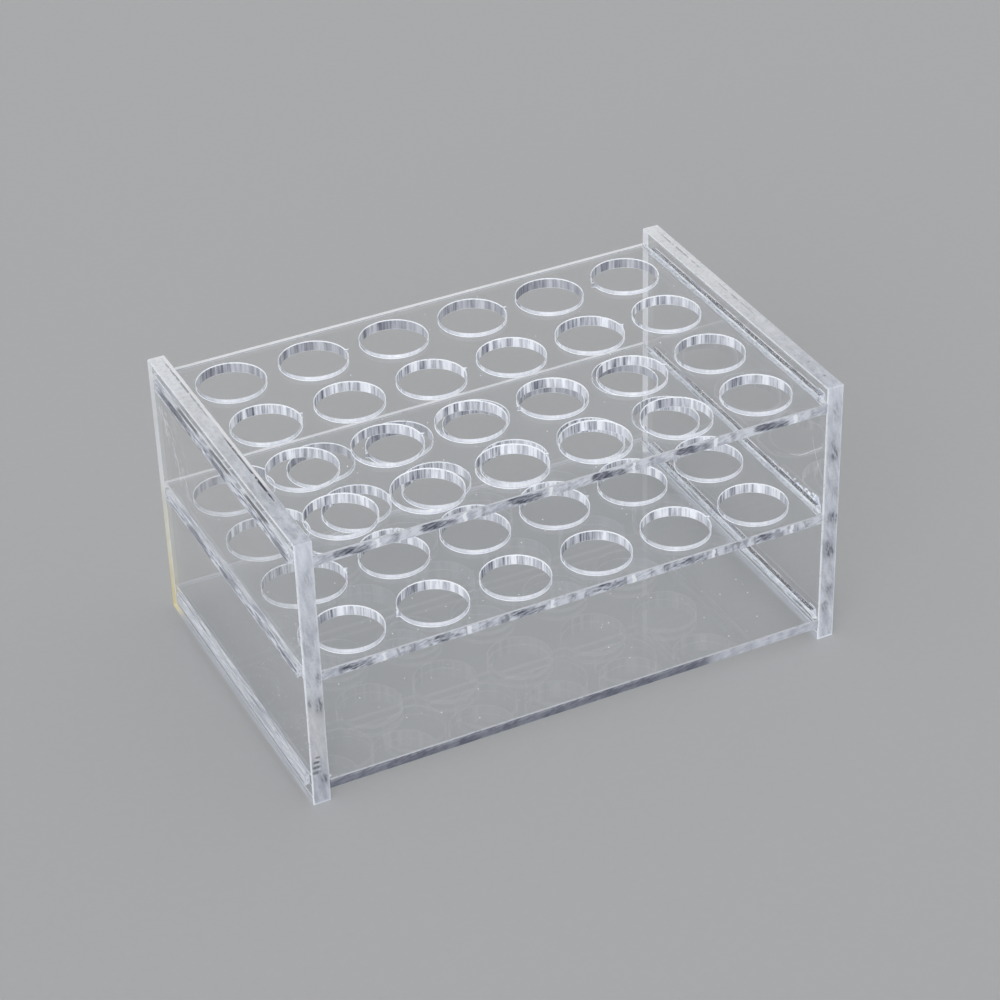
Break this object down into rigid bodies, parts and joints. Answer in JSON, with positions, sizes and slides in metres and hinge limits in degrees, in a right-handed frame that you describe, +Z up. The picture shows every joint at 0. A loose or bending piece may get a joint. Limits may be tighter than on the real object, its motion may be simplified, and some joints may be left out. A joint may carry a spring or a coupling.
{
  "type": "microcentrifuge tube rack",
  "caption": "Clear acrylic bench rack for small centrifuge tubes: two slotted end plates hold the tabs of a holed top shelf, a holed guide shelf and a plain base.",
  "frame": {"origin": "on the bench, under the middle of the rack", "axes": "+X along the rack from its left end plate to its right one, +Y from its front to its back, +Z up out of the wells"},
  "size_m": [0.1, 0.0644, 0.052],
  "materials": {
    "end_plate_acrylic": "clear polished faces, whitish cut edges with bright arrises",
    "shelf_acrylic": "clear polished faces, bright cut edges with fine upright marks in the wells"
  },
  "bodies": {
    "root": {"left_end_plate": "end_plate_acrylic", "right_end_plate": "end_plate_acrylic", "top_shelf": "shelf_acrylic", "middle_shelf": "shelf_acrylic", "base_shelf": "shelf_acrylic"}
  },
  "joints": []
}
